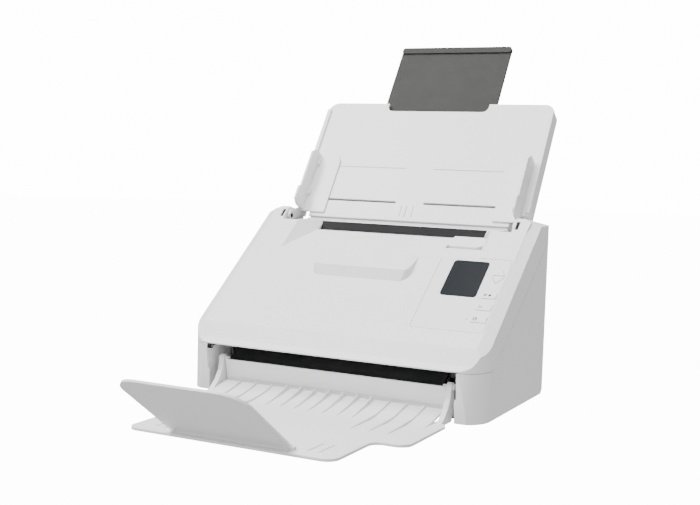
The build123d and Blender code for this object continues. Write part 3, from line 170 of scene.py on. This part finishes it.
def board_material(name):
    """Green solder mask with faint copper tracks under it."""
    color = (0.012, 0.085, 0.035)
    material, tree, shader = new_material(name, color, 0.38)
    coords = tree.nodes.new("ShaderNodeTexCoord")
    bricks = tree.nodes.new("ShaderNodeTexBrick")
    bricks.inputs["Color1"].default_value = (*color, 1)
    bricks.inputs["Color2"].default_value = (*shade(color, 1.3), 1)
    bricks.inputs["Mortar"].default_value = (*shade(color, 2.3), 1)
    bricks.inputs["Scale"].default_value = 90
    bricks.inputs["Mortar Size"].default_value = 0.012
    tree.links.new(coords.outputs["Object"], bricks.inputs["Vector"])
    tree.links.new(bricks.outputs["Color"], shader.inputs["Base Color"])
    bump(tree, shader, bricks.outputs["Fac"], 0.00003, 0.5)
    return material


WHITE = (0.80, 0.80, 0.795)
MATERIALS = {
    "white_plastic": grained("white_plastic", WHITE, 0.42, mottle=0.012, radius=0.0009),
    "panel_plastic": grained("panel_plastic", shade(WHITE, 0.985), 0.36, grain=0.00002,
                             mottle=0.01, radius=0.0002),
    "button_plastic": grained("button_plastic", shade(WHITE, 1.01), 0.3, grain=0.00001,
                              mottle=0.01, radius=0.0003),
    "black_plastic": grained("black_plastic", (0.009, 0.009, 0.01), 0.6, mottle=0.15,
                             Specular_IOR_Level=0.15),
    "grey_plastic": grained("grey_plastic", (0.028, 0.029, 0.026), 0.6, grain=0.00008,
                            scale=1500, mottle=0.07, Specular_IOR_Level=0.2),
    "display_glass": glass_material("display_glass", (0.0045, 0.0065, 0.009), 0.3),
    "sensor_glass": clear_glass("sensor_glass"),
    "rubber": rubber_material("rubber", (0.02, 0.02, 0.021), True),
    "feet_rubber": rubber_material("feet_rubber", (0.03, 0.03, 0.031), False),
    "steel": metal("steel", (0.56, 0.57, 0.58), 0.28),
    "zinc_steel": metal("zinc_steel", (0.62, 0.64, 0.66), 0.4, (12, 12, 1)),
    "gear_plastic": grained("gear_plastic", (0.78, 0.76, 0.69), 0.4),
    "roller_plastic": grained("roller_plastic", (0.5, 0.5, 0.48), 0.45),
    "circuit_board": board_material("circuit_board"),
    "bush_plastic": grained("bush_plastic", (0.04, 0.04, 0.042), 0.5, mottle=0.1),
    "motor_can": metal("motor_can", (0.2, 0.21, 0.22), 0.45),
    "lens_plastic": grained("lens_plastic", (0.3, 0.62, 0.42), 0.2, grain=0.00001),
}


# ---- CAD nodes --------------------------------------------------------------------
CREASE = math.radians(17)                        # faces that turn more than this meet at a hard edge
LEVEL = math.radians(0.6)                        # faces that turn less than this become one flat face
WELD_GAP = 0.005 * MM


def crisp(node):
    """Joins a node's flat triangles, then parts it along its hard edges so that they shade flat."""
    weld = node.modifiers.new("weld", "WELD")
    weld.merge_threshold = WELD_GAP
    flat = node.modifiers.new("flat", "DECIMATE")
    flat.decimate_type = "DISSOLVE"
    flat.angle_limit = LEVEL
    split = node.modifiers.new("split", "EDGE_SPLIT")
    split.split_angle = CREASE
    split.use_edge_sharp = False


def dress_nodes():
    """Gives every CAD node its slot's material and its hard edges."""
    slots = {part["node"]: part["material_slot"] for part in frame["record"]["subparts"]}
    for name, node in frame["nodes"].items():
        node.data.materials.clear()
        node.data.materials.append(MATERIALS[slots[name]])
        crisp(node)


# ---- Markings ---------------------------------------------------------------------
INK = grained("ink", (0.018, 0.019, 0.021), 0.5, grain=0.000005, radius=0)
STROKE = 0.48 * MM                               # half the width of a mark's lines
DOT_STROKE = 0.3 * MM
STROKE_HEIGHT = 0.25                             # how far a line stands up, as a share of its half width
MARK_SIZE = 1.7 * MM
MARK_LEFT = -3.6 * MM                            # from the middle of the button
DOT_RIGHT = 1.0 * MM
ARC_STEPS = 20


def on_face(name, right=0.0, up=0.0):
    """A place on top of a node on the sloped face, right and up the slope from the middle of it."""
    points = [vertex.co for vertex in frame["nodes"][name].data.vertices]

    def reach(way):
        along = [point.dot(way) for point in points]
        return min(along), max(along)

    sides, slope, out = reach(Vector((1, 0, 0))), reach(SLOPE_UP), reach(SLOPE_OUT)
    place = Vector((sum(sides) / 2 + right, 0, 0)) + SLOPE_UP * (sum(slope) / 2 + up) + SLOPE_OUT * out[1]
    matrix = Matrix((Vector((1, 0, 0)), SLOPE_UP, SLOPE_OUT)).transposed().to_4x4()
    matrix.translation = place
    return matrix


def line_mark(name, strokes, matrix, body, half_width=STROKE):
    """A small mark of low raised lines, each one a flattened tube half sunk in the face."""
    curve = bpy.data.curves.new(name, "CURVE")
    curve.dimensions = "3D"
    curve.bevel_depth = half_width
    curve.bevel_resolution = 2
    for points, closed in strokes:
        line = curve.splines.new("POLY")
        line.points.add(len(points) - 1)
        for point, (x, y) in zip(line.points, points):
            point.co = (x, y, 0, 1)
        line.use_cyclic_u = closed
    piece = bpy.data.objects.new(name, curve)
    bpy.context.collection.objects.link(piece)
    piece.matrix_world = matrix @ Matrix.Diagonal((1, 1, STROKE_HEIGHT, 1))
    piece.data.materials.append(INK)
    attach(piece, body)


def arc(radius, start, end):
    """Points on an arc, in degrees from the right."""
    turns = [math.radians(start + (end - start) * i / ARC_STEPS) for i in range(ARC_STEPS + 1)]
    return [(radius * math.cos(turn), radius * math.sin(turn)) for turn in turns]


def marks():
    """Generic symbols on the three buttons."""
    size, left = MARK_SIZE, MARK_LEFT
    power = [(arc(size, 120, 420), False), ([(0, size * 0.2), (0, size * 1.25)], False)]
    line_mark("power_mark", power, on_face("power_button", left), "power_button")
    play = [([(-0.7 * size, -size), (-0.7 * size, size), (size, 0)], True)]
    line_mark("scan_mark", play, on_face("scan_button", left), "scan_button")
    arm = size * 0.75
    cross = [([(-arm, -arm), (arm, arm)], False), ([(-arm, arm), (arm, -arm)], False)]
    line_mark("cancel_mark", cross, on_face("cancel_button", left), "cancel_button")
    dot = [(arc(r * size, 0, 360), True) for r in (0.15, 0.4, 0.65)]
    line_mark("cancel_dot", dot, on_face("cancel_button", DOT_RIGHT), "cancel_button", DOT_STROKE)


# ---- Light, floor and camera --------------------------------------------------------
FLOOR_FLAT = 4.4                                 # radius of the flat floor, in metres
FLOOR_BEND = 1.6                                 # radius of the bend up into the wall
WALL_TOP = 8.0
FLOOR_SIDES = 96
BEND_STEPS = 10
FLOOR_GLOW = 14.0                                # hidden from diffuse and glossy rays


def floor_mesh():
    """A flat disc, a bend and a wall, turned about Z."""
    profile = [(FLOOR_FLAT, 0.0)]
    for step in range(1, BEND_STEPS + 1):
        turn = math.radians(90 / BEND_STEPS * step)
        profile.append((FLOOR_FLAT + FLOOR_BEND * math.sin(turn), FLOOR_BEND - FLOOR_BEND * math.cos(turn)))
    profile.append((FLOOR_FLAT + FLOOR_BEND, WALL_TOP))
    turns = [2 * math.pi * k / FLOOR_SIDES for k in range(FLOOR_SIDES)]
    vertices = [(r * math.cos(a), r * math.sin(a), z) for r, z in profile for a in turns]
    faces = [tuple(range(FLOOR_SIDES))]
    for ring in range(len(profile) - 1):
        low, high = ring * FLOOR_SIDES, (ring + 1) * FLOOR_SIDES
        for k in range(FLOOR_SIDES):
            after = (k + 1) % FLOOR_SIDES
            faces.append((low + k, low + after, high + after, high + k))
    mesh = bpy.data.meshes.new("floor")
    mesh.from_pydata(vertices, [], faces)
    for polygon in mesh.polygons:
        polygon.use_smooth = True
    return mesh


def floor():
    """A pale floor that turns up into a pale wall all round."""
    thing = bpy.data.objects.new("floor", floor_mesh())
    bpy.context.collection.objects.link(thing)
    material, tree, shader = new_material("floor", (0.9, 0.9, 0.9), 0.7, Emission_Strength=FLOOR_GLOW)
    shader.inputs["Emission Color"].default_value = (1, 1, 1, 1)
    tone = ramp(tree, noise(tree, 2, 2), (0.89, 0.89, 0.89), (0.92, 0.92, 0.92))
    tree.links.new(tone, shader.inputs["Base Color"])
    thing.data.materials.append(material)
    thing.visible_diffuse = False
    thing.visible_glossy = False


LIGHTS_AIM = (0, -0.05, 0.12)                    # the middle of the body
LIGHTS = {                                       # place, width and height in metres, watts
    "key": ((-1.2, -1.0, 2.2), (0.8, 0.8), 84),
    "top": ((0.0, -0.1, 2.3), (1.0, 1.0), 50),
    "front": ((0.5, -2.4, 0.7), (1.0, 0.8), 16),
}
WORLD_STRENGTH = 0.84


def area_light(name, place, size, power):
    """A soft rectangular light turned towards the middle of the body."""
    data = bpy.data.lights.new(name, "AREA")
    data.shape = "RECTANGLE"
    data.size, data.size_y = size
    data.energy = power
    light = bpy.data.objects.new(name, data)
    light.location = place
    light.rotation_euler = (Vector(LIGHTS_AIM) - Vector(place)).to_track_quat("-Z", "Y").to_euler()
    bpy.context.collection.objects.link(light)


def lights():
    """The soft lights, and an even white world."""
    for name, settings in LIGHTS.items():
        area_light(name, *settings)
    world = bpy.data.worlds.new("studio")
    bpy.context.scene.world = world
    world.use_nodes = True
    background = world.node_tree.nodes["Background"]
    background.inputs["Color"].default_value = (1, 1, 1, 1)
    background.inputs["Strength"].default_value = WORLD_STRENGTH


CAMERA_AT = (0.5056, -1.0393, 0.2435)
CAMERA_AZIMUTH = 26.75                           # degrees, like the next two
CAMERA_ELEVATION = 5.24
CAMERA_ROLL = 1.68
CAMERA_LENS = 58.8
CAMERA_SENSOR = 36
CAMERA_SHIFT = (-0.0067, 0.0069)
CAMERA_REACH = 50                                # metres


def camera():
    """The main view's camera."""
    data = bpy.data.cameras.new("camera")
    data.lens = CAMERA_LENS
    data.sensor_width = CAMERA_SENSOR
    data.shift_x, data.shift_y = CAMERA_SHIFT
    data.clip_end = CAMERA_REACH
    thing = bpy.data.objects.new("camera", data)
    a, e, r = (math.radians(v) for v in (CAMERA_AZIMUTH, CAMERA_ELEVATION, CAMERA_ROLL))
    back = Vector((math.sin(a) * math.cos(e), -math.cos(a) * math.cos(e), math.sin(e)))
    right = Vector((math.cos(a), math.sin(a), 0))
    up = back.cross(right)
    tilted = right * math.cos(r) + up * math.sin(r)
    matrix = Matrix((tilted, back.cross(tilted), back)).transposed().to_4x4()
    matrix.translation = Vector(CAMERA_AT)
    thing.matrix_world = matrix
    bpy.context.collection.objects.link(thing)
    bpy.context.scene.camera = thing


dress_nodes()
marks()
floor()
lights()
camera()
bpy.context.view_layer.update()
